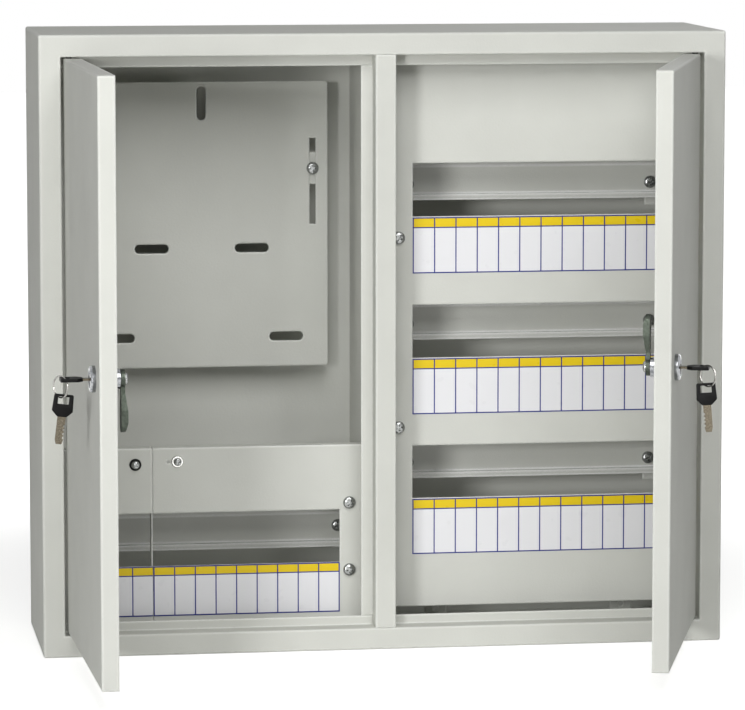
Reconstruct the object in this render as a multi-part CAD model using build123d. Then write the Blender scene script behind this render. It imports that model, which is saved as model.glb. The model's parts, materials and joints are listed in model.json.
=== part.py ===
from build123d import *
from math import atan2, cos, degrees, radians, sin, sqrt
import os

# Wall-hung metering and distribution enclosure with two doors, millimetres.
# X runs to the right, Y runs from the front into the wall, Z runs up.
# The origin is the middle of the wall fixing holes, on the wall plane.

# Box
box_width = 600.0
box_height = 540.0
box_depth = 165.0
sheet = 1.2
corner_radius = 2.0
border = 19.0
mullion_width = 18.0
return_depth = 19.0
top_lip = 10.0
bottom_lip = 8.0
mullion_lip = 10.0
edge_radius = 1.5

# Wall fixing and cable entry
wall_hole_inset_x = 35.0
wall_hole_inset_z = 25.0
wall_hole = 8.0
knockout = 28.0
knockout_groove = 0.8
knockout_bridge = 6.0
knockout_pitch = 70.0
knockout_count = 5
knockout_from_wall = 60.0

# Partition
partition_offset = 9.0
cam_notch_height = 76.0
cam_notch_depth = 13.0
cable_slot_length = 60.0
cable_slot_width = 28.0
cable_slot_from_wall = 45.0
cable_slot_from_floor = 60.0

# Doors
door_gap = 1.5
door_thickness = 14.5
door_hem = 9.0
left_open = 88.45
right_open = 72.8
pivot_inset = 6.0
pivot_depth = 4.5
pin_diameter = 4.0
pin_head = 5.4
pin_head_height = 1.5
pin_collar = 5.2
pin_reach = 4.5
pin_clearance = 0.05
seat_clearance = 0.2

# Covers
cover_set_back = 45.0
cover_sheet = 1.0
cover_gap = 1.5
cover_flange = 14.0
cover_seam = 0.5
right_cover_foot = 29.5
right_cover_head = 8.0
left_cover_top = 174.5

# Module slots, rails and labels
slot_height = 47.0
rows = 3
upper_row_from_top = 121.0
lower_row_from_foot = 131.0
left_row_from_foot = 75.5
right_rail_rise = 4.0
left_rail_rise = -0.8
left_rail_step = 6.5
right_label_drop = 0.8
left_label_drop = 0.2
right_cell = 19.1
left_cell = 18.4
right_margin = 20.0
left_margin = 24.0
sealed_cells = 3
label_sheet = 0.3
right_label_height = 49.4
left_label_height = 44.4
rail_behind_cover = 52.0
rail_height = 35.0
rail_web = 27.0
rail_depth = 7.5
rail_sheet = 1.0
rail_end_gap = 10.0
rail_screw_inset = 16.0
bracket_sheet = 1.5
rail_bracket_width = 14.5
rail_bracket_lap = 4.5
rail_bracket_height = 41.0

# Cover brackets and support bar
tongue_past_screw = 7.0
tongue_leg = 24.0
tongue_height = 30.0
bar_height = 22.0
bar_leg = 18.0

# Screws
screw_shank = 4.8
screw_head = 11.0
screw_head_height = 3.4
screw_length = 9.0
screw_recess = 0.5
screw_recess_width = 1.2
screw_recess_depth = 1.4
cover_hole = 5.6
tapped_clearance = 0.03
right_screw_inset = 9.0
right_screws_under_upper = 42.0
right_screws_over_lower = 40.0
left_screw_inset = 17.0
left_screws_over_row = 29.5
left_screws_under_row = 30.5
seal_screws_over_row = 67.0
right_seal_rise = 2.0
seal_screw_head = 7.2
seal_screw_left = 15.0
seal_screw_right = 22.0
seal_hole = 3.2
seal_hole_offset = 8.0
washer_diameter = 10.6
washer_hole = 5.6
washer_height = 1.2

# Meter plate
plate_side_gap = 22.5
plate_height = 256.0
plate_sheet = 1.5
plate_stand_off = 27.0
plate_side_step = -1.0
plate_top_gap = 30.0
plate_slot_length = 30.5
plate_slot_width = 8.2
top_slot_height = 237.0
middle_slot_height = 107.0
middle_slot_span = 90.0
lower_slot_height = 27.0
lower_slot_span = 152.0
adjust_slot_length = 77.0
adjust_slot_width = 5.6
adjust_slot_inset = 13.5
adjust_slot_height = 166.5
plate_screw_height = 178.0
plate_bracket_width = 22.0
plate_bracket_height = 29.0
plate_bracket_edge = 10.0

# Cable tie tabs
tab_width = 20.0
tab_height = 33.0
tab_foot = 16.0
tab_hole = 5.0
tab_hole_height = 16.0
tab_span = 170.0
tab_from_wall = 66.0

# Locks
lock_inset = 34.0
lock_height = 2.0
bezel_diameter = 22.0
bezel_height = 4.6
bezel_round = 1.8
lock_body = 18.0
lock_flat = 16.0
lock_hole_clearance = 0.15
lock_body_depth = 20.0
nut_across = 22.0
nut_height = 4.0
plug_diameter = 12.0
plug_shoulder = 14.5
plug_shoulder_height = 1.6
plug_recess = 0.6
plug_clearance = 0.08
square_size = 7.0
square_clearance = 0.05
cam_reach = 44.0
cam_hub = 15.0
cam_neck = 8.0
cam_paddle = 14.0
cam_neck_thickness = 3.4
cam_paddle_thickness = 5.6
cam_swell_start = 12.0
cam_swell_end = 27.0
cam_gap = 0.6
cam_screw_head = 9.5
cam_screw_head_height = 2.6
cam_screw_shank = 4.0
cam_screw_length = 7.0

# Keys and key rings
head_width = 17.0
head_top_width = 15.6
head_length = 18.3
head_thickness = 2.8
head_chamfer = 4.6
head_radius = 1.2
head_bar = 1.8
key_hole_length = 9.2
key_hole_width = 6.3
key_hole_radius = 0.6
blade_width = 6.8
blade_tip = 4.6
blade_length = 22.5
blade_thickness = 1.8
blade_tang = 8.0
blade_tang_width = 5.0
blade_clearance = 0.1
bit_depth = 1.1
bit_pitch = 3.2
bit_count = 4
key_out = 10.0
ring_diameter = 18.9
ring_wire = 1.3
left_ring_turn = -55.0
right_ring_turn = 40.0
ring_lift = 0.35
left_ring_step = -4.4
right_ring_step = 3.2
ring_past_bar = 0.9
spare_slack = 0.5
left_spare_step = 2.5
right_spare_step = 1.55
spare_drop = 19.5

# Places worked out from the sizes above
front = -box_depth
half_width = box_width / 2
half_height = box_height / 2
opening_width = (box_width - 2 * border - mullion_width) / 2
opening_height = box_height - 2 * border
opening_outer = half_width - border
opening_top = half_height - border
bay_center = (mullion_width + opening_width) / 2
lip_front = front + return_depth
lip_back = lip_front + sheet
door_width = opening_width - 2 * door_gap
door_height = opening_height - 2 * door_gap
pivot_x = opening_outer - door_gap - pivot_inset
pivot_y = front + pivot_depth
cover_front = front + cover_set_back
cover_back = cover_front + cover_sheet
wall_inside = half_width - sheet
floor_inside = -half_height + sheet
panel_front = -sheet
partition_left = -partition_offset
partition_right = partition_left + sheet
rail_back = cover_front + rail_behind_cover + rail_depth
left_cells = int((opening_width - 2 * left_margin) / left_cell)
right_cells = int((opening_width - 2 * right_margin) / right_cell)
left_slot_width = left_cells * left_cell
right_slot_width = right_cells * right_cell
left_slot_start = -bay_center - left_slot_width / 2
seam_x = left_slot_start + sealed_cells * left_cell
upper_row = opening_top - upper_row_from_top
lower_row = -opening_top + lower_row_from_foot
left_row = -opening_top + left_row_from_foot
row_pitch = (upper_row - lower_row) / (rows - 1)
right_rows = [upper_row - row_pitch * row for row in range(rows)]
right_screw_rows = (upper_row - right_screws_under_upper, lower_row + right_screws_over_lower)
left_screw_rows = (left_row + left_screws_over_row, left_row - left_screws_under_row)
seal_screw_row = left_row + seal_screws_over_row
rail_length = opening_width - 2 * rail_end_gap
rail_screw_span = rail_length - 2 * rail_screw_inset
plate_width = opening_width - 2 * plate_side_gap
plate_center_x = plate_side_step - bay_center
plate_foot = opening_top - plate_top_gap - plate_height
plate_front = -plate_stand_off
plate_back = plate_front + plate_sheet
ring_radius = (ring_diameter - ring_wire) / 2


def block(x0, x1, y0, y1, z0, z1):
    place = Pos((x0 + x1) / 2, (y0 + y1) / 2, (z0 + z1) / 2)
    return place * Box(x1 - x0, y1 - y0, z1 - z0)


def rod(radius, x, z, y0, y1):
    return Pos(x, (y0 + y1) / 2, z) * Rot(90, 0, 0) * Cylinder(radius, y1 - y0)


def post(radius, x, y, z0, z1):
    return Pos(x, y, (z0 + z1) / 2) * Cylinder(radius, z1 - z0)


def left_of(start, end):
    dx = end[0] - start[0]
    dy = end[1] - start[1]
    length = sqrt(dx * dx + dy * dy)
    return (-dy / length, dx / length)


def folded(points, thickness):
    # Section of a sheet with square bends: one face follows the points, the thickness lies to their left.
    sides = [left_of(start, end) for start, end in zip(points, points[1:])]
    inside = []
    for index, (x, y) in enumerate(points):
        near = {sides[max(index - 1, 0)], sides[min(index, len(sides) - 1)]}
        shift_x = thickness * sum(side[0] for side in near)
        shift_y = thickness * sum(side[1] for side in near)
        inside.append((x + shift_x, y + shift_y))
    return make_face(Polyline(*points, *reversed(inside), close=True))


def fold_up(points, thickness, z0, z1):
    # Bent sheet with an upright run: the section lies in X and Y.
    return Pos(0, 0, z0) * extrude(folded(points, thickness), z1 - z0, dir=(0, 0, 1))


def fold_along(points, thickness, x0, x1):
    # Bent sheet that runs across the box: the section lies in Y and Z.
    section = Plane.YZ * folded(points, thickness)
    return Pos(x0, 0, 0) * extrude(section, x1 - x0, dir=(1, 0, 0))


def turned(points, x, z, seat):
    # Turned piece on an axis along Y: points are (radius, distance in front of the seat).
    section = make_face(Polyline(*points, close=True))
    return Pos(x, seat, z) * Rot(90, 0, 0) * revolve(Plane.XZ * section, Axis.Z)


def pan_screw(x, z, seat, head=screw_head):
    # Domed head on a seat that faces the front, with a cross recess.
    radius = head / 2
    shank = screw_shank / 2
    tall = screw_head_height
    points = (
        (0, -screw_length),
        (shank, -screw_length),
        (shank, 0),
        (radius, 0),
        (radius, tall * 0.4),
        (radius * 0.75, tall * 0.85),
        (radius * 0.4, tall),
        (0, tall),
    )
    screw = turned(points, x, z, seat)
    long = head * screw_recess
    top = seat - tall
    for wide, high in ((long, screw_recess_width), (screw_recess_width, long)):
        screw -= block(x - wide / 2, x + wide / 2, top, top + screw_recess_depth, z - high / 2, z + high / 2)
    return screw


def group(solids):
    return Compound(children=list(solids))


# Box

def make_shell():
    outer = Pos(0, -box_depth / 2, 0) * Box(box_width, box_depth, box_height)
    rounded = [edge for edge in outer.edges() if edge.center().Y < -0.5]
    outer = fillet(rounded, corner_radius)
    inside = block(-wall_inside, wall_inside, front + sheet, 1, floor_inside, -floor_inside)
    shell = outer - inside
    frame_hole = block(-opening_outer, opening_outer, front - 1, front + sheet + 1, -opening_top, opening_top)
    wrap = opening_outer + sheet
    wrap_top = opening_top + sheet
    collar = block(-wrap, wrap, front, lip_back, -wrap_top, wrap_top)
    collar -= block(-opening_outer, opening_outer, front - 1, 0, -opening_top, opening_top)
    shell = shell - frame_hole + collar
    for x0, x1 in ((-opening_outer, -mullion_width / 2), (mullion_width / 2, opening_outer)):
        shell += block(x0, x1, lip_front, lip_back, opening_top - top_lip, opening_top)
        shell += block(x0, x1, lip_front, lip_back, -opening_top, bottom_lip - opening_top)
    inner_edges = [
        edge
        for edge in shell.edges()
        if abs(edge.center().Y - front) < 0.01
        and max(abs(edge.center().X) / opening_outer, abs(edge.center().Z) / opening_top) < 1.001
    ]
    shell = fillet(inner_edges, edge_radius * 0.7)
    for x in (-opening_outer, opening_outer):
        for end in (-1, 1):
            hole_x = x - (door_gap + pivot_inset) * (1 if x > 0 else -1)
            z = end * (opening_top + sheet / 2)
            shell -= post(pin_diameter / 2 + tapped_clearance, hole_x, pivot_y, z - sheet, z + sheet)
    first = -knockout_pitch * (knockout_count - 1) / 2
    for index in range(knockout_count):
        x = first + index * knockout_pitch
        groove = Cylinder(knockout / 2, 4 * sheet) - Cylinder(knockout / 2 - knockout_groove, 4 * sheet)
        groove -= Box(knockout_bridge, knockout * 2, 5 * sheet)
        shell -= Pos(x, -knockout_from_wall, -half_height) * groove
    return shell


def make_back_panel():
    panel = block(-wall_inside, wall_inside, panel_front, 0, floor_inside, -floor_inside)
    for x in (wall_hole_inset_x - half_width, half_width - wall_hole_inset_x):
        for z in (wall_hole_inset_z - half_height, half_height - wall_hole_inset_z):
            panel -= rod(wall_hole / 2, x, z, panel_front - 1, 1)
    return panel


def make_mullion():
    half = mullion_width / 2
    points = (
        (-half - mullion_lip, lip_front),
        (-half, lip_front),
        (-half, front),
        (half, front),
        (half, lip_back),
    )
    mullion = fold_up(points, sheet, -opening_top, opening_top)
    cut_x = (-half - mullion_lip - 1, -half)
    mullion -= block(*cut_x, front - 1, 0, opening_top - top_lip, opening_top + 1)
    mullion -= block(*cut_x, front - 1, 0, -opening_top - 1, bottom_lip - opening_top)
    ridges = [edge for edge in mullion.edges().filter_by(Axis.Z) if abs(edge.center().Y - front) < 0.01]
    return fillet(ridges, edge_radius * 0.7)


def make_partition():
    plate = block(partition_left, partition_right, lip_back, panel_front, floor_inside, -floor_inside)
    notch_z = lock_height - cam_notch_height * 0.2
    low = notch_z - cam_notch_height / 2
    high = notch_z + cam_notch_height / 2
    plate -= block(partition_left - 1, partition_right + 1, lip_back - 1, lip_back + cam_notch_depth, low, high)
    slot = extrude(Plane.YZ * SlotOverall(cable_slot_length, cable_slot_width), 4 * sheet, both=True)
    slot_z = floor_inside + cable_slot_from_floor
    return plate - Pos(partition_left, -cable_slot_from_wall, slot_z) * slot


def make_hinge_pins():
    pins = []
    for side in (-1, 1):
        for end in (-1, 1):
            x = side * pivot_x
            seat = opening_top + sheet
            body = post(pin_head / 2, x, pivot_y, seat, seat + pin_head_height)
            inner = opening_top - door_gap - pin_reach
            body += post(pin_diameter / 2, x, pivot_y, inner, seat)
            body += post(pin_collar / 2, x, pivot_y, opening_top - door_gap + seat_clearance, opening_top)
            pins.append(body if end > 0 else mirror(body, about=Plane.XY))
    return group(pins)


# Left bay

def make_meter_plate():
    outline = Rectangle(plate_width, plate_height, align=(Align.CENTER, Align.MIN))
    outline = fillet(outline.vertices(), corner_radius)
    level = SlotOverall(plate_slot_length, plate_slot_width)
    outline -= Pos(0, top_slot_height) * Rot(0, 0, 90) * level
    for side in (-1, 1):
        outline -= Pos(side * middle_slot_span / 2, middle_slot_height) * level
        outline -= Pos(side * lower_slot_span / 2, lower_slot_height) * level
        adjust = Rot(0, 0, 90) * Rectangle(adjust_slot_length, adjust_slot_width)
        outline -= Pos(side * (plate_width / 2 - adjust_slot_inset), adjust_slot_height) * adjust
    plate = extrude(Plane.XZ * outline, plate_sheet)
    return Pos(plate_center_x, plate_back, plate_foot) * plate


def c_bracket(x_free, x_leg, y_front, y_seat, z, height, hole):
    # Sheet stand-off: a tab in front, a leg to the seat and a foot on the seat.
    points = [(x_free, y_front), (x_leg, y_front), (x_leg, y_seat), (x_free, y_seat)]
    thickness = bracket_sheet if x_leg > x_free else -bracket_sheet
    bracket = fold_up(points, thickness, z - height / 2, z + height / 2)
    return bracket - rod(screw_shank / 2 + tapped_clearance, hole, z, y_front - 1, y_front + bracket_sheet + 1)


def plate_screw_x(side):
    return plate_center_x + side * (plate_width / 2 - adjust_slot_inset)


def make_meter_brackets():
    brackets = []
    for side in (-1, 1):
        screw_x = plate_screw_x(side)
        free = screw_x + side * plate_bracket_edge
        leg = free - side * plate_bracket_width
        z = plate_foot + plate_screw_height
        brackets.append(c_bracket(free, leg, plate_back, panel_front, z, plate_bracket_height, screw_x))
    return group(brackets)


def make_meter_screws():
    z = plate_foot + plate_screw_height
    return group(pan_screw(plate_screw_x(side), z, plate_front) for side in (-1, 1))


def cover_sheet_piece(x0, x1, z0, z1):
    # Cover folded back along its top and its foot.
    points = (
        (cover_front + cover_flange, z0),
        (cover_front, z0),
        (cover_front, z1),
        (cover_front + cover_flange, z1),
    )
    return fold_along(points[::-1], cover_sheet, x0, x1)


def slot_cut(x0, x1, row):
    return block(x0, x1, cover_front - 1, cover_back + 1, row - slot_height / 2, row + slot_height / 2)


def make_left_cover():
    right_end = -mullion_width / 2 - cover_gap
    cover = cover_sheet_piece(seam_x + cover_seam / 2, right_end, floor_inside, floor_inside + left_cover_top)
    cover -= slot_cut(seam_x - 1, left_slot_start + left_slot_width, left_row)
    screw_x, screw_z = seal_screw_places()[1]
    cover -= rod(cover_hole / 2, screw_x, screw_z, cover_front - 1, cover_back + 1)
    cover -= seal_hole_cut()
    for z in left_screw_rows:
        x = -mullion_width / 2 - left_screw_inset
        cover -= rod(cover_hole / 2, x, z, cover_front - 1, cover_back + 1)
    return cover


def make_sealing_cover():
    left_end = -opening_outer + cover_gap
    right_end = seam_x - cover_seam / 2
    top = floor_inside + left_cover_top
    cover = cover_sheet_piece(left_end, right_end, floor_inside, top)
    cover -= slot_cut(left_slot_start, right_end + 1, left_row)
    flange_top = seal_screw_row - bar_height / 2 - cover_gap
    flange_back = cover_front + cover_flange
    cover += block(right_end - cover_sheet, right_end, cover_front, flange_back, floor_inside, flange_top)
    x, z = seal_screw_places()[0]
    return cover - rod(cover_hole / 2, x, z, cover_front - 1, cover_back + 1)


def make_support_bar():
    low = seal_screw_row - bar_height / 2
    points = ((cover_back, low + bar_height), (cover_back, low), (cover_back + bar_leg, low))
    bar = fold_along(points, bracket_sheet, -wall_inside, partition_left)
    for x, z in seal_screw_places():
        bar -= rod(screw_shank / 2 + tapped_clearance, x, z, cover_back - 1, cover_back + 3)
    return bar - seal_hole_cut()


def seal_screw_places():
    left = (seam_x - seal_screw_left, seal_screw_row)
    return (left, (seam_x + seal_screw_right, seal_screw_row + right_seal_rise))


def seal_hole_cut():
    # Hole for the sealing wire, through the cover and the bar behind it.
    x, z = seal_screw_places()[1]
    return rod(seal_hole / 2, x - seal_hole_offset, z, cover_front - 1, cover_back + 3)


def make_sealing_screws():
    seat = cover_front - washer_height
    return group(pan_screw(x, z, seat, seal_screw_head) for x, z in seal_screw_places())


def make_washer(x, z):
    outer = washer_diameter / 2
    inner = washer_hole / 2
    points = (
        (inner, 0),
        (outer, 0),
        (outer, washer_height * 0.5),
        (outer - washer_height * 0.5, washer_height),
        (inner, washer_height),
    )
    return turned(points, x, z, cover_front)


def tongue(wall_x, direction, screw_x, z):
    # Angle bracket: a leg along a wall and a tongue behind the cover, with a tapped hole.
    end = screw_x + direction * tongue_past_screw
    points = [(end, cover_back), (wall_x, cover_back), (wall_x, cover_back + tongue_leg)]
    thickness = bracket_sheet if direction < 0 else -bracket_sheet
    piece = fold_up(points, thickness, z - tongue_height / 2, z + tongue_height / 2)
    return piece - rod(screw_shank / 2 + tapped_clearance, screw_x, z, cover_back - 1, cover_back + 3)


def left_screw_x():
    return -mullion_width / 2 - left_screw_inset


def make_left_cover_screws():
    return group(pan_screw(left_screw_x(), z, cover_front) for z in left_screw_rows)


def make_left_cover_brackets():
    return group(tongue(partition_left, -1, left_screw_x(), z) for z in left_screw_rows)


# Right bay

def right_screw_places():
    edge = right_screw_inset
    return (mullion_width / 2 + edge, opening_outer - edge)


def make_right_cover():
    x0 = mullion_width / 2 + cover_gap
    x1 = opening_outer - cover_gap
    cover = cover_sheet_piece(x0, x1, -half_height + right_cover_foot, half_height - right_cover_head)
    start = bay_center - right_slot_width / 2
    for row in right_rows:
        cover -= slot_cut(start, start + right_slot_width, row)
    for x in right_screw_places():
        for z in right_screw_rows:
            cover -= rod(cover_hole / 2, x, z, cover_front - 1, cover_back + 1)
    return cover


def make_right_cover_screws():
    places = [(x, z) for x in right_screw_places() for z in right_screw_rows]
    return group(pan_screw(x, z, cover_front) for x, z in places)


def make_right_cover_brackets():
    near, far = right_screw_places()
    pieces = []
    for z in right_screw_rows:
        pieces.append(tongue(partition_right, 1, near, z))
        pieces.append(tongue(wall_inside, -1, far, z))
    return group(pieces)


# Rails and labels

def rail_screw_places(center):
    return (center - rail_screw_span / 2, center + rail_screw_span / 2)


def make_rail(center, row, rise):
    flange = rail_back - rail_depth
    half_web = rail_web / 2
    half = rail_height / 2
    points = (
        (flange + rail_sheet, half),
        (flange + rail_sheet, half_web),
        (rail_back, half_web),
        (rail_back, -half_web),
        (flange + rail_sheet, -half_web),
        (flange + rail_sheet, -half),
    )
    rail = fold_along(points, -rail_sheet, center - rail_length / 2, center + rail_length / 2)
    rail = Pos(0, 0, row + rise) * rail
    for x in rail_screw_places(center):
        rail -= rod(cover_hole / 2, x, row, rail_back - rail_sheet - 1, rail_back + 1)
    return rail


def make_rail_brackets(center, row):
    pieces = []
    for side, x in zip((-1, 1), rail_screw_places(center)):
        free = x - side * rail_bracket_lap
        leg = free + side * rail_bracket_width
        pieces.append(c_bracket(free, leg, rail_back, panel_front, row, rail_bracket_height, x))
    return group(pieces)


def make_rail_screws(center, row):
    return group(pan_screw(x, row, rail_back - rail_sheet) for x in rail_screw_places(center))


def make_label(x0, x1, row, drop, height):
    top = row - slot_height / 2 - drop
    return block(x0, x1, cover_front - label_sheet, cover_front, top - height, top)


def make_cable_tabs():
    tabs = []
    for side in (-1, 1):
        x = bay_center + side * tab_span / 2
        y = -tab_from_wall
        points = ((y, floor_inside + tab_height), (y, floor_inside), (y + tab_foot, floor_inside))
        piece = fold_along(points, bracket_sheet, x - tab_width / 2, x + tab_width / 2)
        z = floor_inside + tab_hole_height
        tabs.append(piece - rod(tab_hole / 2, x, z, y - 1, y + bracket_sheet + 1))
    return group(tabs)


# Doors: built shut with the hinge axis as origin, X towards the free edge, Y into the box

face = -pivot_depth
hinge_edge = -pivot_inset
free_edge = hinge_edge + door_width
lock_x = free_edge - lock_inset


def make_door():
    half = door_height / 2
    pan = block(hinge_edge, free_edge, face, face + door_thickness, -half, half)
    back = face + door_thickness
    pan = fillet([edge for edge in pan.edges() if edge.center().Y < back - 0.1], edge_radius)
    hollow_z = half - sheet
    hollow = block(hinge_edge + sheet, free_edge - sheet, face + sheet, back + 1, -hollow_z, hollow_z)
    hem_x = (hinge_edge + door_hem, free_edge - door_hem)
    hem = block(hinge_edge + sheet / 2, free_edge - sheet / 2, back - sheet, back, sheet / 2 - half, half - sheet / 2)
    hem -= block(*hem_x, back - 3, back + 1, door_hem - half, half - door_hem)
    pan = pan - hollow + hem
    pan -= post(pin_diameter / 2 + pin_clearance, 0, 0, -half - 1, half + 1)
    hole = lock_section(lock_body / 2 + lock_hole_clearance, lock_flat / 2 + lock_hole_clearance)
    return pan - lock_extrude(hole, face - 1, face + sheet + 1)


def lock_section(radius, half_flat):
    # Round with two flats, so that the housing can't turn in the door.
    return Circle(radius) & Rectangle(4 * radius, 2 * half_flat)


def lock_extrude(section, y0, y1):
    # A section drawn square to the lock axis, run along it from y0 to y1.
    return Pos(lock_x, y0, lock_height) * Rot(-90, 0, 0) * extrude(section, y1 - y0)


def lock_rod(radius, y0, y1):
    return rod(radius, lock_x, lock_height, y0, y1)


plug_front = face - bezel_height + plug_recess
shoulder_back = plug_front + plug_shoulder_height
housing_back = face + lock_body_depth
cam_front = face + return_depth + sheet + cam_gap
cam_back = cam_front + cam_neck_thickness


def make_lock_housing():
    rim = bezel_diameter / 2
    points = (
        (0, 0),
        (rim, 0),
        (rim, bezel_height - bezel_round),
        (rim - bezel_round * 0.3, bezel_height - bezel_round * 0.3),
        (rim - bezel_round, bezel_height),
        (0, bezel_height),
    )
    bezel = turned(points, lock_x, lock_height, face)
    body = lock_extrude(lock_section(lock_body / 2, lock_flat / 2), face, housing_back)
    housing = bezel + body
    housing -= lock_rod(plug_diameter / 2 + plug_clearance, face - bezel_height - 1, housing_back + 1)
    return housing - lock_rod(plug_shoulder / 2 + plug_clearance, face - bezel_height - 1, shoulder_back + plug_clearance)


def make_lock_nut():
    outline = RegularPolygon(nut_across / 2, 6, major_radius=False)
    nut = lock_extrude(outline, face + sheet, face + sheet + nut_height)
    bore = lock_section(lock_body / 2 + tapped_clearance, lock_body)
    return nut - lock_extrude(bore, face, face + sheet + nut_height + 1)


def make_lock_plug():
    plug = lock_rod(plug_diameter / 2, plug_front, cam_front - cam_gap / 2)
    plug += lock_rod(plug_shoulder / 2, plug_front, shoulder_back)
    plug += lock_extrude(Rectangle(square_size, square_size), cam_front - cam_gap, cam_back)
    key_width = blade_width + 2 * blade_clearance
    key_height = blade_thickness + 2 * blade_clearance
    key_depth = face - key_out + blade_length + 0.5
    plug -= lock_extrude(Rectangle(key_width, key_height), plug_front - 1, key_depth)
    return plug - lock_rod(cam_screw_shank / 2 + tapped_clearance, cam_back - cam_screw_length, cam_back + 1)


def make_cam():
    # Spoon cam that hangs down when the lock is open: its outline, cut to its swelling side view.
    end = cam_reach - cam_paddle / 2
    outline = Circle(cam_hub / 2)
    outline += make_hull([Pos(0, -cam_swell_start) * Circle(cam_neck / 2).edge(), Circle(cam_neck / 2).edge()])
    outline += make_hull(
        [
            Pos(0, -cam_swell_start) * Circle(cam_neck / 2).edge(),
            Pos(0, -cam_swell_end) * Circle(cam_paddle / 2).edge(),
            Pos(0, -end) * Circle(cam_paddle / 2).edge(),
        ]
    )
    spoon = Pos(lock_x, cam_front, lock_height) * Rot(90, 0, 0) * extrude(outline, -cam_paddle_thickness)
    tip = lock_height - cam_reach
    side = Polyline(
        (cam_front, lock_height + cam_hub),
        (cam_front, tip),
        (cam_front + cam_neck_thickness, tip),
        (cam_front + cam_paddle_thickness, tip + cam_paddle * 0.6),
        (cam_front + cam_paddle_thickness, lock_height - cam_swell_end),
        (cam_back, lock_height - cam_swell_start),
        (cam_back, lock_height + cam_hub),
        close=True,
    )
    view = Pos(lock_x, 0, 0) * extrude(Plane.YZ * make_face(side), cam_hub, both=True)
    cam = spoon & view
    hole = square_size + 2 * square_clearance
    return cam - lock_extrude(Rectangle(hole, hole), cam_front - 1, cam_back + 4)


def make_cam_screw():
    radius = cam_screw_head / 2
    shank = cam_screw_shank / 2
    tall = cam_screw_head_height
    points = (
        (0, cam_screw_length - 0.5),
        (shank, cam_screw_length - 0.5),
        (shank, 0),
        (radius, 0),
        (radius, -tall * 0.5),
        (radius * 0.7, -tall),
        (0, -tall),
    )
    return turned(points, lock_x, lock_height, cam_back)


# Keys: drawn flat, with the shoulder of the blade at the origin and the head upwards

hole_top = head_length - head_bar
hole_middle = hole_top - key_hole_width / 2


def make_key_head():
    half = head_width / 2
    half_top = head_top_width / 2
    outline = Polyline(
        (-half + head_chamfer, 0),
        (half - head_chamfer, 0),
        (half, head_chamfer),
        (half_top, head_length),
        (-half_top, head_length),
        (-half, head_chamfer),
        close=True,
    )
    head = fillet(make_face(outline).vertices(), head_radius)
    hole = RectangleRounded(key_hole_length, key_hole_width, key_hole_radius)
    head -= Pos(0, hole_middle) * hole
    solid = extrude(head, head_thickness / 2, both=True)
    pocket_width = blade_tang_width + 2 * tapped_clearance
    pocket_height = blade_thickness + 2 * tapped_clearance
    pocket = Pos(0, blade_tang / 2, 0) * Box(pocket_width, blade_tang + 2 * tapped_clearance, pocket_height)
    return solid - pocket


def make_key_blade():
    half = blade_width / 2
    points = [(-blade_tang_width / 2, blade_tang), (-blade_tang_width / 2, 0), (-half, 0)]
    first = 6.0
    for bit in range(bit_count):
        y = -first - bit * bit_pitch
        points += [(-half, y), (-half + bit_depth, y - bit_pitch * 0.3), (-half + bit_depth, y - bit_pitch * 0.6)]
        points += [(-half, y - bit_pitch * 0.9)]
    points += [(-blade_tip / 2, -blade_length), (blade_tip / 2, -blade_length), (half, half - blade_length)]
    points += [(half, 0), (blade_tang_width / 2, 0), (blade_tang_width / 2, blade_tang)]
    return extrude(make_face(Polyline(*points, close=True)), blade_thickness / 2, both=True)


def in_lock(key):
    # The flat of the key lies level and its head points out of the door.
    return Pos(lock_x, face - key_out, lock_height) * Rot(180, 0, 0) * key


# Distances of the ring from the door face and above the lock axis
ring_out = key_out + hole_top + ring_past_bar
ring_top = head_thickness / 2 + ring_lift + ring_wire / 2
ring_center_z = lock_height + ring_top - ring_radius
spare_z = ring_center_z - ring_radius


def make_ring(turn, step):
    # Level direction in which the ring lies, out of the door and along it.
    dx = sin(radians(turn))
    dy = -cos(radians(turn))
    place = Plane(
        origin=(lock_x + step, face - ring_out, ring_center_z),
        x_dir=(dx, dy, 0),
        z_dir=(dy, -dx, 0),
    )
    wire = Pos(ring_radius, 0) * RegularPolygon(ring_wire / 2, 8)
    return place.location * revolve(Plane.XZ * wire, Axis.Z)


def hanging(key, step, key_step):
    # The spare key hangs from one end of its hole, so it leans until its weight is below the ring.
    hang_height = hole_top - spare_slack - ring_wire / 2
    place = Plane(
        origin=(lock_x + step, face - ring_out, spare_z),
        x_dir=(0, -1, 0),
        z_dir=(-1, 0, 0),
    )
    lean = degrees(atan2(key_step, spare_drop))
    return place.location * Rot(0, 0, lean) * Pos(-key_step, -hang_height, 0) * key


def turned_over(piece):
    # Half a turn about the lock axis.
    return Pos(lock_x, 0, lock_height) * Rot(0, 180, 0) * Pos(-lock_x, 0, -lock_height) * piece


def door_pieces(turn, step, key_step):
    head = make_key_head()
    blade = make_key_blade()
    return {
        "door": make_door(),
        "lock_housing": make_lock_housing(),
        "lock_nut": make_lock_nut(),
        "lock_plug": make_lock_plug(),
        "cam": make_cam(),
        "cam_screw": make_cam_screw(),
        "key_head": in_lock(head),
        "key_blade": in_lock(blade),
        "key_ring": make_ring(turn, step),
        "spare_key_head": hanging(head, step, key_step),
        "spare_key_blade": hanging(blade, step, key_step),
    }


def left_door_place(piece):
    return Pos(-pivot_x, pivot_y, 0) * Rot(0, 0, -left_open) * piece


def right_door_place(piece):
    return Pos(pivot_x, pivot_y, 0) * Rot(0, 0, right_open) * mirror(piece, about=Plane.YZ)


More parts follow.
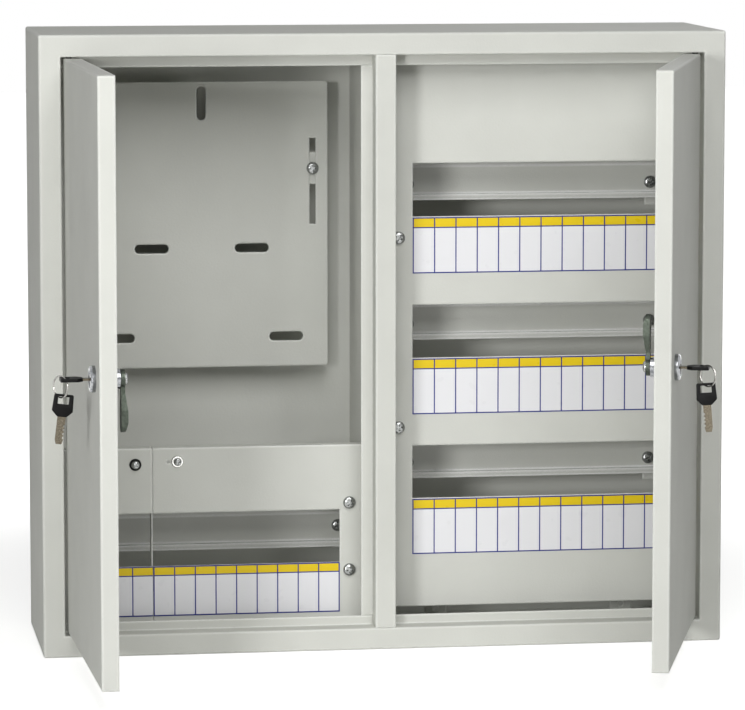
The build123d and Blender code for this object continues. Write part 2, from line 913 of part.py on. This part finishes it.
def make_parts():
    left_end = left_slot_start + left_slot_width
    left_strip = (left_row, left_label_drop, left_label_height)
    right_start = bay_center - right_slot_width / 2
    parts = {
        "body_shell": make_shell(),
        "back_panel": make_back_panel(),
        "mullion": make_mullion(),
        "partition_plate": make_partition(),
        "hinge_pins": make_hinge_pins(),
        "meter_plate": make_meter_plate(),
        "meter_plate_brackets": make_meter_brackets(),
        "meter_plate_screws": make_meter_screws(),
        "left_cover": make_left_cover(),
        "sealing_cover": make_sealing_cover(),
        "cover_support_bar": make_support_bar(),
        "sealing_screws": make_sealing_screws(),
        "rubber_washer": make_washer(*seal_screw_places()[0]),
        "cup_washer": make_washer(*seal_screw_places()[1]),
        "left_cover_screws": make_left_cover_screws(),
        "left_cover_brackets": make_left_cover_brackets(),
        "right_cover": make_right_cover(),
        "right_cover_screws": make_right_cover_screws(),
        "right_cover_brackets": make_right_cover_brackets(),
        "sealing_label": make_label(left_slot_start, seam_x - cover_seam / 2, *left_strip),
        "left_label": make_label(seam_x + cover_seam / 2, left_end, *left_strip),
        "cable_tabs": make_cable_tabs(),
    }
    rails = [("left", left_rail_step - bay_center, left_row, left_rail_rise)]
    for name, row in zip(("upper", "middle", "lower"), right_rows):
        rails.append((name, bay_center, row, right_rail_rise))
    for name, center, row, rise in rails:
        parts[name + "_rail"] = make_rail(center, row, rise)
        parts[name + "_rail_brackets"] = make_rail_brackets(center, row)
        parts[name + "_rail_screws"] = make_rail_screws(center, row)
        if name != "left":
            strip = (row, right_label_drop, right_label_height)
            parts[name + "_label"] = make_label(right_start, right_start + right_slot_width, *strip)
    for name, piece in door_pieces(left_ring_turn, left_ring_step, left_spare_step).items():
        parts["left_" + name] = left_door_place(piece)
    # The right lock is fitted the other way up, so its cam points up while the left one hangs.
    for name, piece in door_pieces(right_ring_turn, right_ring_step, right_spare_step).items():
        parts["right_" + name] = right_door_place(turned_over(piece) if name == "cam" else piece)
    return parts


os.makedirs("parts", exist_ok=True)
for node, solid in make_parts().items():
    export_step(solid, f"parts/{node}.step")
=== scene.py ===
import bpy
import bmesh
import json
from math import cos, pi, radians, sin
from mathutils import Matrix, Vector


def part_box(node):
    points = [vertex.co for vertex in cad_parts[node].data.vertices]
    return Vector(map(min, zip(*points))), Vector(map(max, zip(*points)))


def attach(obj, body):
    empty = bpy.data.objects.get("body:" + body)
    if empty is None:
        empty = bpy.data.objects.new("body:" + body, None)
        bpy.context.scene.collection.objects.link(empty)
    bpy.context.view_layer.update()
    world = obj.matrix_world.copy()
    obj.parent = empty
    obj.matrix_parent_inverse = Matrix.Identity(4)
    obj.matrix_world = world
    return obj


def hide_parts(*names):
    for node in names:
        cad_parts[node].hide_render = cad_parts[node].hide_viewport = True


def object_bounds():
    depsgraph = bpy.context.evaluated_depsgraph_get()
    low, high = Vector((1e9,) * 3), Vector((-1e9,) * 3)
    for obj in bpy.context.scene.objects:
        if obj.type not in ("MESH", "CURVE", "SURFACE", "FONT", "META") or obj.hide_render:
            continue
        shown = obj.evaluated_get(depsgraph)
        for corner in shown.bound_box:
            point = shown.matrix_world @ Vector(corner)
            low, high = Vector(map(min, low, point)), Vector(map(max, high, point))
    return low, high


# Two-door metering enclosure: powder coated sheet steel box, seen from the front left.
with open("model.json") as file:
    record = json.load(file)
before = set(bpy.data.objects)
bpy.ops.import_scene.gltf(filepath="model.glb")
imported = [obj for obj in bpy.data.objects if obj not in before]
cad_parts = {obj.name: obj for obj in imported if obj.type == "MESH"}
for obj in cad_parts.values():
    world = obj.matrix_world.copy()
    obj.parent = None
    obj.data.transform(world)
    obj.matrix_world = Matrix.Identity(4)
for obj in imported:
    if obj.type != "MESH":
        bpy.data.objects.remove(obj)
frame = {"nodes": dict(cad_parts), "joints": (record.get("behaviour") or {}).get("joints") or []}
nodes = frame["nodes"]
cadBox = [list(corner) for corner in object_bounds()]
scene = bpy.context.scene
scene.view_settings.view_transform = "Standard"
mm = 0.001
sides = ("left", "right")
rowNames = ("left", "upper", "middle", "lower")
jointNamed = {joint["name"]: joint for joint in frame["joints"]}
print("frame loaded:", len(nodes), "nodes")


def linearFromHex(code):
    # sRGB hex to the linear RGBA that the sockets take
    parts = [int(code[i:i + 2], 16) / 255 for i in (1, 3, 5)]
    return [p / 12.92 if p <= 0.04045 else ((p + 0.055) / 1.055) ** 2.4 for p in parts] + [1.0]


def addNode(tree, kind, settings=None, **inputs):
    # a node with its settings; an input is a value, or (node, output) to link.
    # Inputs go by name, with _ for a space, or by number as i0, i1 and so on
    node = tree.nodes.new(kind)
    for name, value in (settings or {}).items():
        setattr(node, name, value)
    for name, value in inputs.items():
        key = int(name[1:]) if name[0] == "i" and name[1:].isdigit() else name.replace("_", " ")
        if isinstance(value, tuple):
            tree.links.new(value[0].outputs[value[1]], node.inputs[key])
        else:
            node.inputs[key].default_value = value
    return node


def newMaterial(name):
    # a Principled material, and object coordinates in metres for its patterns
    material = bpy.data.materials.new(name)
    material.use_nodes = True
    tree = material.node_tree
    shader = tree.nodes["Principled BSDF"]
    place = addNode(tree, "ShaderNodeTexCoord")
    return material, tree, shader, place


def setSockets(shader, **values):
    # what is the same all over a surface goes straight on the shader
    for name, value in values.items():
        shader.inputs[name.replace("_", " ")].default_value = value


def dress(material, *names):
    # puts a finish on CAD nodes
    for name in names:
        mesh = nodes[name].data
        mesh.materials.clear()
        mesh.materials.append(material)


# camera: the photograph's place, 3.7 m off and a little above and to the left
cameraSetup = {
    "place": (-0.5514, -3.8680, 0.4427), "target": (-0.0118, -0.165, -0.0098),
    "lens": 209.38, "sensor": 36.0, "clipEnd": 50.0,
}
cameraData = bpy.data.cameras.new("camera")
cameraData.lens = cameraSetup["lens"]
cameraData.sensor_width = cameraSetup["sensor"]
cameraData.clip_end = cameraSetup["clipEnd"]
camera = bpy.data.objects.new("camera", cameraData)
camera.location = cameraSetup["place"]
aim = Vector(cameraSetup["target"]) - Vector(cameraSetup["place"])
camera.rotation_euler = aim.to_track_quat("-Z", "Y").to_euler()
scene.collection.objects.link(camera)
scene.camera = camera
print("camera set")

# powder coat: polyester powder baked on steel. It gives a sandy orange peel that speckles where light grazes it,
# a soft sheen, and along each bend a paler line, which is a painted highlight; there the powder flows out thin and
# grains of steel glint.
# The real peel is about 0.8 mm wide and a bend about 1.5 mm; both are drawn coarser here so that they show.
powderCoat = {
    # the third colour is a painted highlight for the bends
    "colour": "#D3D4CE", "shade": "#C9CAC4", "edge": "#FAFBF7",
    "roughness": 0.62, "roughnessSpread": 0.1, "specular": 0.1, "ior": 1.5,
    "peelMm": 1.9, "peelDepthMm": 0.4, "peelBump": 0.3, "patchMm": 60.0,
    "bendMm": 2.6, "bendCosines": (0.99, 0.82), "rounded": True,
    "glint": 0.25, "glintLow": 0.3, "glintGrains": (0.35, 0.6),
}


def makePowderCoat(name, setup):
    material, tree, shader, place = newMaterial(name)
    peel = addNode(
        tree, "ShaderNodeTexNoise", Vector=(place, "Object"), Scale=1 / (setup["peelMm"] * mm),
        Detail=2.0, Roughness=0.55,
    )
    patch = addNode(
        tree, "ShaderNodeTexNoise", Vector=(place, "Object"), Scale=1 / (setup["patchMm"] * mm), Detail=2.0,
    )
    tone = addNode(
        tree, "ShaderNodeMix", {"data_type": "RGBA"}, i0=(patch, "Fac"),
        i6=linearFromHex(setup["shade"]), i7=linearFromHex(setup["colour"]),
    )
    # a bend is where the rounded normal leaves the flat one
    bend = addNode(tree, "ShaderNodeBevel", {"samples": 4}, Radius=setup["bendMm"] * mm)
    flat = addNode(tree, "ShaderNodeNewGeometry")
    same = addNode(
        tree, "ShaderNodeVectorMath", {"operation": "DOT_PRODUCT"}, i0=(bend, 0), i1=(flat, "Normal"),
    )
    line = addNode(
        tree, "ShaderNodeMapRange", Value=(same, "Value"),
        From_Min=setup["bendCosines"][0], From_Max=setup["bendCosines"][1],
    )
    # painted highlight: along each bend the colour is mixed toward a pale one, standing for the light the bend
    # catches
    toneAndHighlight = addNode(
        tree, "ShaderNodeMix", {"data_type": "RGBA"}, i0=(line, 0),
        i6=(tone, 2), i7=linearFromHex(setup["edge"]),
    )
    bump = addNode(
        tree, "ShaderNodeBump", Strength=setup["peelBump"], Distance=setup["peelDepthMm"] * mm,
        Height=(peel, "Fac"),
    )
    if setup["rounded"]:
        tree.links.new(bend.outputs[0], bump.inputs["Normal"])
    gloss = addNode(
        tree, "ShaderNodeMapRange", Value=(peel, "Fac"),
        To_Min=setup["roughness"] - setup["roughnessSpread"],
        To_Max=setup["roughness"] + setup["roughnessSpread"],
    )
    tree.links.new(toneAndHighlight.outputs[2], shader.inputs["Base Color"])
    tree.links.new(gloss.outputs[0], shader.inputs["Roughness"])
    tree.links.new(bump.outputs[0], shader.inputs["Normal"])
    if setup["glint"]:
        # steel shows through in grains where the powder is thin, so the bend catches the light
        grains = addNode(
            tree, "ShaderNodeMapRange", Value=(peel, "Fac"),
            From_Min=setup["glintGrains"][0], From_Max=setup["glintGrains"][1],
            To_Min=setup["glintLow"] * setup["glint"], To_Max=setup["glint"],
        )
        sparkle = addNode(tree, "ShaderNodeMath", {"operation": "MULTIPLY"}, i0=(line, 0), i1=(grains, 0))
        tree.links.new(sparkle.outputs[0], shader.inputs["Metallic"])
    setSockets(shader, IOR=setup["ior"], Specular_IOR_Level=setup["specular"])
    return material


coat = makePowderCoat("powder coated steel", powderCoat)
coated = (
    "body_shell", "back_panel", "mullion", "partition_plate", "meter_plate", "meter_plate_brackets",
    "left_cover", "sealing_cover", "cover_support_bar", "left_cover_brackets", "right_cover",
    "right_cover_brackets", "cable_tabs", "left_door", "right_door",
)
dress(coat, *coated)
print("powder coat done")

# rails: the same powder on drawn strip, where it lies smoother and shines, with a white line along each bend as a
# painted highlight
railCoat = dict(
    # the white bend colour is a painted highlight, kept on flat normals so that it stays bright
    powderCoat, edge="#FFFFFF", roughness=0.24, specular=0.5, peelBump=0.4, peelMm=1.5,
    bendMm=3.4, rounded=False, glint=0.0,
)
dress(makePowderCoat("powder coated strip steel", railCoat), *[row + "_rail" for row in rowNames])
dress(coat, *[row + "_rail_brackets" for row in rowNames])
print("rails done")

# small metal pieces: each a bare or plated metal, dulled in small spots by handling; on the zinc and the chrome the
# darker spots are also painted dark reflection
platings = {
    # electroplated zinc: a white shine that clouds over in spots, which are partly painted dark reflection
    "bright zinc plated steel": {
        "colour": "#B4B6B5", "stainAndDarkReflection": "#6C6E6C", "roughness": 0.22, "grainMm": 0.8, "metallic": 0.85,
    },
    # oil blackened: dark and soft
    "blackened steel": {
        "colour": "#3A3A38", "stainAndDarkReflection": "#2C2C2B", "roughness": 0.45, "grainMm": 0.8, "metallic": 1.0,
    },
    # chrome on a polished casting: close to a mirror, with a mid-grey base and broad darker clouds that are painted
    # dark reflection
    "chromed die-cast zinc": {
        "colour": "#A4A6A8", "stainAndDarkReflection": "#74767A", "roughness": 0.12, "grainMm": 2.5, "metallic": 1.0,
    },
    # nickel on a pressed cup: the whitest ring on the box
    "bright nickel plated brass": {
        "colour": "#E6E6E3", "stainAndDarkReflection": "#B4B4B0", "roughness": 0.16, "grainMm": 1.2, "metallic": 1.0,
    },
    # passivated after casting: grey green and satin
    "olive passivated zinc casting": {
        "colour": "#50564E", "stainAndDarkReflection": "#3F443D", "roughness": 0.42, "grainMm": 1.6, "metallic": 1.0,
    },
    # milled from strip: warm grey, dull in the cuts
    "milled nickel silver": {
        "colour": "#6B6558", "stainAndDarkReflection": "#463F35", "roughness": 0.28, "grainMm": 0.6, "metallic": 1.0,
    },
    # drawn, then plated: a fine bright line
    "nickel plated spring wire": {
        "colour": "#A9A8A4", "stainAndDarkReflection": "#7F7E7A", "roughness": 0.2, "grainMm": 0.7, "metallic": 1.0,
    },
}
platingWearAndReflection = {"spots": (0.4, 0.7), "gloss": (0.6, 1.5)}


def makePlating(name, setup):
    # the gloss varies more than the colour
    material, tree, shader, place = newMaterial(name)
    grain = addNode(
        tree, "ShaderNodeTexNoise", Vector=(place, "Object"), Scale=1 / (setup["grainMm"] * mm), Detail=2.0,
    )
    spots = addNode(
        tree, "ShaderNodeMapRange", Value=(grain, "Fac"),
        From_Min=platingWearAndReflection["spots"][0], From_Max=platingWearAndReflection["spots"][1],
    )
    # the darker spot colour is partly handling marks and partly painted dark reflection
    tone = addNode(
        tree, "ShaderNodeMix", {"data_type": "RGBA"}, i0=(spots, 0),
        i6=linearFromHex(setup["colour"]), i7=linearFromHex(setup["stainAndDarkReflection"]),
    )
    gloss = addNode(
        tree, "ShaderNodeMapRange", Value=(grain, "Fac"),
        To_Min=setup["roughness"] * platingWearAndReflection["gloss"][0], To_Max=setup["roughness"] * platingWearAndReflection["gloss"][1],
    )
    tree.links.new(tone.outputs[2], shader.inputs["Base Color"])
    tree.links.new(gloss.outputs[0], shader.inputs["Roughness"])
    setSockets(shader, Metallic=setup["metallic"])
    return material


metals = {name: makePlating(name, setup) for name, setup in platings.items()}
dress(metals["blackened steel"], "hinge_pins")
dress(metals["bright nickel plated brass"], "cup_washer")
for side in sides:
    dress(metals["chromed die-cast zinc"], side + "_lock_housing", side + "_lock_plug")
    dress(metals["bright zinc plated steel"], side + "_lock_nut")
    dress(metals["olive passivated zinc casting"], side + "_cam")
    dress(metals["milled nickel silver"], side + "_key_blade", side + "_spare_key_blade")
print("platings done")

# moulded pieces: key heads in ABS with a fine spark texture that dulls the shine, and a matt rubber washer
moulded = {
    "moulded black ABS": {
        "colour": "#070707", "roughness": 0.5, "specular": 0.12, "grainMm": 0.6, "bump": 0.2,
    },
    "moulded rubber": {
        "colour": "#141413", "roughness": 0.65, "specular": 0.2, "grainMm": 0.5, "bump": 0.15,
    },
}
mouldTexture = {"depthMm": 0.2, "roughnessSpread": 0.08, "ior": 1.52}


def makeMoulded(name, setup):
    material, tree, shader, place = newMaterial(name)
    grain = addNode(
        tree, "ShaderNodeTexNoise", Vector=(place, "Object"), Scale=1 / (setup["grainMm"] * mm), Detail=2.0,
    )
    bump = addNode(
        tree, "ShaderNodeBump", Strength=setup["bump"], Distance=mouldTexture["depthMm"] * mm,
        Height=(grain, "Fac"),
    )
    gloss = addNode(
        tree, "ShaderNodeMapRange", Value=(grain, "Fac"),
        To_Min=setup["roughness"] - mouldTexture["roughnessSpread"],
        To_Max=setup["roughness"] + mouldTexture["roughnessSpread"],
    )
    tree.links.new(gloss.outputs[0], shader.inputs["Roughness"])
    tree.links.new(bump.outputs[0], shader.inputs["Normal"])
    setSockets(
        shader, Base_Color=linearFromHex(setup["colour"]), IOR=mouldTexture["ior"],
        Specular_IOR_Level=setup["specular"],
    )
    return material


plastics = {name: makeMoulded(name, setup) for name, setup in moulded.items()}
dress(plastics["moulded rubber"], "rubber_washer")
print("moulded finishes done")

pieceSharpDeg = 38.0  # corners sharper than this stay crisp on the detailed pieces


def addPiece(name, mesh, material, body, node):
    # a detailed piece that rides a body and stands for its plain CAD node
    work = bmesh.new()
    work.from_mesh(mesh)
    bmesh.ops.recalc_face_normals(work, faces=work.faces)
    work.to_mesh(mesh)
    work.free()
    mesh.shade_smooth()
    mesh.set_sharp_from_angle(angle=radians(pieceSharpDeg))
    mesh.materials.clear()
    mesh.materials.append(material)
    piece = bpy.data.objects.new(name, mesh)
    scene.collection.objects.link(piece)
    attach(piece, body)
    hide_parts(node)


def joinLoops(loops, verts, faces):
    # skins loops of equal length one after the other, and closes both ends with one face each
    count = len(loops[0])
    start = len(verts)
    for loop in loops:
        verts.extend(loop)
    for row in range(len(loops) - 1):
        low = start + row * count
        for k in range(count):
            after = (k + 1) % count
            faces.append((low + k, low + after, low + count + after, low + count + k))
    for row, turn in ((0, -1), (len(loops) - 1, 1)):
        low = start + row * count
        faces.append(tuple(low + k for k in range(count))[::turn])


# screws: pan heads with a cross recess and a rolled thread, cut to the size and place of the CAD screws.
# Lengths without Mm are shares of the head's or the shank's own size.
screws = {
    "around": 48, "armLength": 0.55, "armWidth": 0.14, "recessDepth": 0.6, "recessTaper": 0.7,
    "dome": ((0.62, 0.95), (0.8, 0.86), (0.93, 0.68), (1.0, 0.4), (1.0, 0.0)),
    "pitchMm": 0.8, "threadDepth": 0.12, "point": 0.7,
    "firstTurn": 0.5, "nextTurn": 0.9,  # radians: each screw stops at its own angle
    "reachMm": 14.0, "rim": 0.8, "underHeadMm": 0.5,  # how a screw is told from its neighbours, and head from shank
}


def measureScrews(node, axis):
    # groups a node's points by centre line, then reads head and shank sizes off each group
    across = axis.cross(Vector((0, 0, 1)))
    up = across.cross(axis)
    reach = screws["reachMm"] * mm
    groups = []
    for vert in nodes[node].data.vertices:
        point = (vert.co.dot(across), vert.co.dot(up), vert.co.dot(axis))
        near = [g for g in groups if abs(g[0][0] - point[0]) < reach and abs(g[0][1] - point[1]) < reach]
        if near:
            near[0].append(point)
        else:
            groups.append([point])
    found = []
    for group in groups:
        a, b = [(min(p[i] for p in group) + max(p[i] for p in group)) / 2 for i in (0, 1)]
        far = [((p[0] - a) ** 2 + (p[1] - b) ** 2) ** 0.5 for p in group]
        head = max(far)
        base = min(p[2] for p, r in zip(group, far) if r > screws["rim"] * head)
        shank = max(r for p, r in zip(group, far) if p[2] < base - screws["underHeadMm"] * mm)
        found.append({
            "foot": across * a + up * b, "across": across, "up": up, "axis": axis, "head": head, "shank": shank,
            "base": base, "top": max(p[2] for p in group), "end": min(p[2] for p in group),
        })
    return found


def crossRadius(angle, length, width):
    # outline of the cross recess, as a distance from the centre
    c, s = max(abs(cos(angle)), 1e-6), max(abs(sin(angle)), 1e-6)
    return max(min(length / c, width / s), min(width / c, length / s))


def screwLoop(spot, angles, lead, radii, level):
    # one loop round a screw's axis
    return [
        spot["foot"] + spot["axis"] * level
        + (spot["across"] * cos(a + lead) + spot["up"] * sin(a + lead)) * r
        for a, r in zip(angles, radii)
    ]


def makeScrews(node, body, axis):
    verts, faces = [], []
    around = screws["around"]
    angles = [2 * pi * k / around for k in range(around)]
    for turn, spot in enumerate(measureScrews(node, axis)):
        lead = screws["firstTurn"] + screws["nextTurn"] * turn
        height = spot["top"] - spot["base"]
        armLength, armWidth = screws["armLength"] * spot["head"], screws["armWidth"] * spot["head"]
        arms = [crossRadius(a, armLength, armWidth) for a in angles]
        # from the bottom of the recess over the dome to the point
        rings = [
            ([r * screws["recessTaper"] for r in arms], spot["top"] - screws["recessDepth"] * height),
            (arms, spot["top"]),
        ]
        rings += [([r * spot["head"]] * around, spot["base"] + h * height) for r, h in screws["dome"]]
        step = screws["pitchMm"] * mm / 2
        for row in range(int((spot["base"] - spot["end"]) / step) + 1):
            radius = spot["shank"] * (1 - screws["threadDepth"] * (row % 2))
            rings.append(([radius] * around, spot["base"] - row * step))
        rings.append(([spot["shank"] * screws["point"]] * around, spot["end"]))
        joinLoops([screwLoop(spot, angles, lead, radii, level) for radii, level in rings], verts, faces)
    mesh = bpy.data.meshes.new("crossHead_" + node)
    mesh.from_pydata(verts, [], faces)
    addPiece("crossHead_" + node, mesh, metals["bright zinc plated steel"], body, node)


fixedScrews = ["meter_plate_screws", "sealing_screws", "left_cover_screws", "right_cover_screws"]
for node in fixedScrews + [row + "_rail_screws" for row in rowNames]:
    makeScrews(node, "enclosure", Vector((0, -1, 0)))
for side in sides:
    # the cam screw's head looks into the box, against the lock's outward axis
    makeScrews(side + "_cam_screw", side + "_lock", -Vector(jointNamed[side + "_lock_turn"]["axis"]))
print("screws done")

# key rings: spring wire wound twice round, with the step where one turn passes to the other
keyRing = {
    "wireMm": 1.3, "wireHalfMm": 0.57, "turns": 2, "stepsPerTurn": 44, "around": 10,
    "startAngle": 2.2, "stepSpan": 0.09,
}


def makeKeyRing(side):
    low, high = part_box(side + "_key_ring")
    middle = (low + high) / 2
    level = Vector(jointNamed[side + "_spare_key_swing"]["axis"])
    up = Vector((0, 0, 1))
    axis = level.cross(up)
    radius = (high.z - low.z) / 2 - keyRing["wireMm"] * mm / 2
    half = keyRing["wireHalfMm"] * mm
    lay = keyRing["wireMm"] * mm / 4
    section = [2 * pi * j / keyRing["around"] for j in range(keyRing["around"])]
    count = keyRing["turns"] * keyRing["stepsPerTurn"]
    loops = []
    for k in range(count + 1):
        t = k / count
        angle = 2 * pi * keyRing["turns"] * t + keyRing["startAngle"]
        # the wire lies on one side of the middle plane, then steps over to the other
        over = min(max((t - 0.5) / keyRing["stepSpan"], -1), 1)
        out = level * cos(angle) + up * sin(angle)
        center = middle + out * radius + axis * lay * over
        loops.append([center + out * (half * cos(a)) + axis * (lay * sin(a)) for a in section])
    verts, faces = [], []
    joinLoops(loops, verts, faces)
    name = "splitRing_" + side
    mesh = bpy.data.meshes.new(name)
    mesh.from_pydata(verts, [], faces)
    addPiece(
        name, mesh, metals["nickel plated spring wire"], side + "_key_ring", side + "_key_ring",
    )


for side in sides:
    makeKeyRing(side)
print("key rings done")

# key heads: the moulded corners are rounded off, as the tool leaves them
keyHead = {"cornerMm": 0.45, "segments": 2, "sharpDeg": 40.0, "flatDeg": 1.0, "weldMm": 0.001}


def makeKeyHead(node, body):
    mesh = nodes[node].data.copy()
    work = bmesh.new()
    work.from_mesh(mesh)
    bmesh.ops.remove_doubles(work, verts=work.verts, dist=keyHead["weldMm"] * mm)
    bmesh.ops.dissolve_limit(
        work, angle_limit=radians(keyHead["flatDeg"]), verts=work.verts, edges=work.edges,
    )
    sharp = radians(keyHead["sharpDeg"])
    corners = [e for e in work.edges if len(e.link_faces) == 2 and e.calc_face_angle(0) > sharp]
    bmesh.ops.bevel(
        work, geom=corners, offset=keyHead["cornerMm"] * mm, segments=keyHead["segments"], profile=0.5,
        affect="EDGES", clamp_overlap=True,
    )
    work.to_mesh(mesh)
    work.free()
    addPiece("rounded_" + node, mesh, plastics["moulded black ABS"], body, node)


for side in sides:
    makeKeyHead(side + "_key_head", side + "_lock")
    makeKeyHead(side + "_spare_key_head", side + "_spare_key")
print("key heads done")

# label strips: printed film with a yellow head band and blue rules between the module places. It gives flat
# clean fields whose shine comes and goes, because film laid by hand is never quite flat.
labelPrint = {
    "white": "#E5E5E8", "yellow": "#E4C61C", "rule": "#232A80", "ruleMm": 1.05,
    "roughness": 0.3, "roughnessLow": 0.1, "roughnessHigh": 0.15, "mottleMm": 9.0, "ior": 1.49, "specular": 0.3,
    # module places, and the band's height in mm
    "strips": {
        "upper_label": (12, 9.0), "middle_label": (12, 9.0), "lower_label": (12, 9.0),
        "left_label": (9, 8.2), "sealing_label": (3, 8.2),
    },
    "sharesLastRule": "sealing_label",  # it butts against the left label, whose first rule serves both
}


def makeLabel(node, cells, bandMm, setup):
    low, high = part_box(node)
    half = setup["ruleMm"] / 2
    material, tree, shader, place = newMaterial("printed label film " + node.split("_")[0])
    split = addNode(tree, "ShaderNodeSeparateXYZ", i0=(place, "Object"))
    # columns: distance to the nearest cell edge, in cells, with the end rules just inside the film
    last = high.x + half * mm if node == setup["sharesLastRule"] else high.x - half * mm
    column = addNode(
        tree, "ShaderNodeMapRange", {"clamp": False}, Value=(split, "X"),
        From_Min=low.x + half * mm, From_Max=last, To_Max=float(cells),
    )
    near = addNode(tree, "ShaderNodeMath", {"operation": "PINGPONG"}, i0=(column, 0), i1=0.5)
    cellMm = (high.x - low.x) / mm / cells
    upright = addNode(tree, "ShaderNodeMath", {"operation": "LESS_THAN"}, i0=(near, 0), i1=half / cellMm)
    # rows: millimetres below the top edge
    tall = (high.z - low.z) / mm
    down = addNode(
        tree, "ShaderNodeMapRange", {"clamp": False}, Value=(split, "Z"),
        From_Min=high.z, From_Max=low.z, To_Max=tall,
    )
    band = addNode(tree, "ShaderNodeMath", {"operation": "LESS_THAN"}, i0=(down, 0), i1=bandMm)
    rules = upright
    for at in (half, bandMm, tall - half):
        level = addNode(tree, "ShaderNodeMath", {"operation": "COMPARE"}, i0=(down, 0), i1=at, i2=half)
        rules = addNode(tree, "ShaderNodeMath", {"operation": "MAXIMUM"}, i0=(rules, 0), i1=(level, 0))
    ground = addNode(
        tree, "ShaderNodeMix", {"data_type": "RGBA"}, i0=(band, 0),
        i6=linearFromHex(setup["white"]), i7=linearFromHex(setup["yellow"]),
    )
    ink = addNode(
        tree, "ShaderNodeMix", {"data_type": "RGBA"}, i0=(rules, 0),
        i6=(ground, 2), i7=linearFromHex(setup["rule"]),
    )
    mottle = addNode(
        tree, "ShaderNodeTexNoise", Vector=(place, "Object"), Scale=1 / (setup["mottleMm"] * mm), Detail=1.0,
    )
    gloss = addNode(
        tree, "ShaderNodeMapRange", Value=(mottle, "Fac"),
        To_Min=setup["roughness"] - setup["roughnessLow"], To_Max=setup["roughness"] + setup["roughnessHigh"],
    )
    tree.links.new(ink.outputs[2], shader.inputs["Base Color"])
    tree.links.new(gloss.outputs[0], shader.inputs["Roughness"])
    setSockets(shader, IOR=setup["ior"], Specular_IOR_Level=setup["specular"])
    return material


for node, (cells, bandMm) in labelPrint["strips"].items():
    dress(makeLabel(node, cells, bandMm, labelPrint), node)
print("labels done")

# floor and studio: a paper sweep that is white to the camera, and soft boxes round the object
studio = {
    "floor": "#F4F4F2", "floorRoughness": 0.9, "floorReach": 8.0, "floorFront": 6.0, "floorDrop": 0.0005,
    "white": "#FFFFFF", "glow": 0.62, "glowFar": 1.0, "fade": (0.45, 1.1), "worldStrength": 0.03,
    "aim": (0, -0.15, 0),
    "boxes": [
        {"name": "overhead box", "place": (0.0, -2.564, 1.847), "width": 2.0, "height": 2.0, "watts": 61.0},
        {"name": "left box", "place": (-1.578, -2.725, 0.366), "width": 0.5, "height": 0.5, "watts": 35.0},
        {"name": "back box", "place": (1.24, 2.46, 0.62), "width": 1.6, "height": 1.6, "watts": 12.0},
    ],
}


def plainRays(tree):
    # 1 for rays that meet plain white: the camera's own, and those off metal and through glass
    path = addNode(tree, "ShaderNodeLightPath")
    seen = addNode(
        tree, "ShaderNodeMath", {"operation": "MAXIMUM"}, i0=(path, "Is Camera Ray"), i1=(path, "Is Glossy Ray"),
    )
    return addNode(
        tree, "ShaderNodeMath", {"operation": "MAXIMUM"}, i0=(seen, 0), i1=(path, "Is Transmission Ray"),
    )


reach, front, floorZ = studio["floorReach"], studio["floorFront"], cadBox[0][2] - studio["floorDrop"]
floorCorners = [(-reach, -front, floorZ), (reach, -front, floorZ), (reach, reach, floorZ), (-reach, reach, floorZ)]
floorMesh = bpy.data.meshes.new("floor")
floorMesh.from_pydata(floorCorners, [], [(0, 1, 2, 3)])
floor = bpy.data.objects.new("floor", floorMesh)
scene.collection.objects.link(floor)
floorMaterial, tree, shader, place = newMaterial("white paper sweep")
setSockets(
    shader, Base_Color=linearFromHex(studio["floor"]), Roughness=studio["floorRoughness"],
    Emission_Color=linearFromHex(studio["white"]),
)
# the paper is lit up to white away from the object, and keeps the shadow close to it
away = addNode(tree, "ShaderNodeVectorMath", {"operation": "LENGTH"}, i0=(place, "Object"))
rise = addNode(
    tree, "ShaderNodeMapRange", {"interpolation_type": "SMOOTHSTEP"}, Value=(away, "Value"),
    From_Min=studio["fade"][0], From_Max=studio["fade"][1], To_Min=studio["glow"], To_Max=studio["glowFar"],
)
glow = addNode(tree, "ShaderNodeMath", {"operation": "MULTIPLY"}, i0=(plainRays(tree), 0), i1=(rise, 0))
tree.links.new(glow.outputs[0], shader.inputs["Emission Strength"])
floorMesh.materials.append(floorMaterial)

world = bpy.data.worlds.new("studio")
scene.world = world
world.use_nodes = True
tree = world.node_tree
level = addNode(
    tree, "ShaderNodeMapRange", Value=(plainRays(tree), 0), To_Min=studio["worldStrength"], To_Max=1.0,
)
background = tree.nodes["Background"]
background.inputs["Color"].default_value = linearFromHex(studio["white"])
tree.links.new(level.outputs[0], background.inputs["Strength"])
for box in studio["boxes"]:
    lamp = bpy.data.lights.new(box["name"], "AREA")
    lamp.shape = "RECTANGLE"
    lamp.size = box["width"]
    lamp.size_y = box["height"]
    lamp.energy = box["watts"]
    light = bpy.data.objects.new(box["name"], lamp)
    light.location = box["place"]
    toAim = Vector(studio["aim"]) - Vector(box["place"])
    light.rotation_euler = toAim.to_track_quat("-Z", "Y").to_euler()
    scene.collection.objects.link(light)
print("studio done")
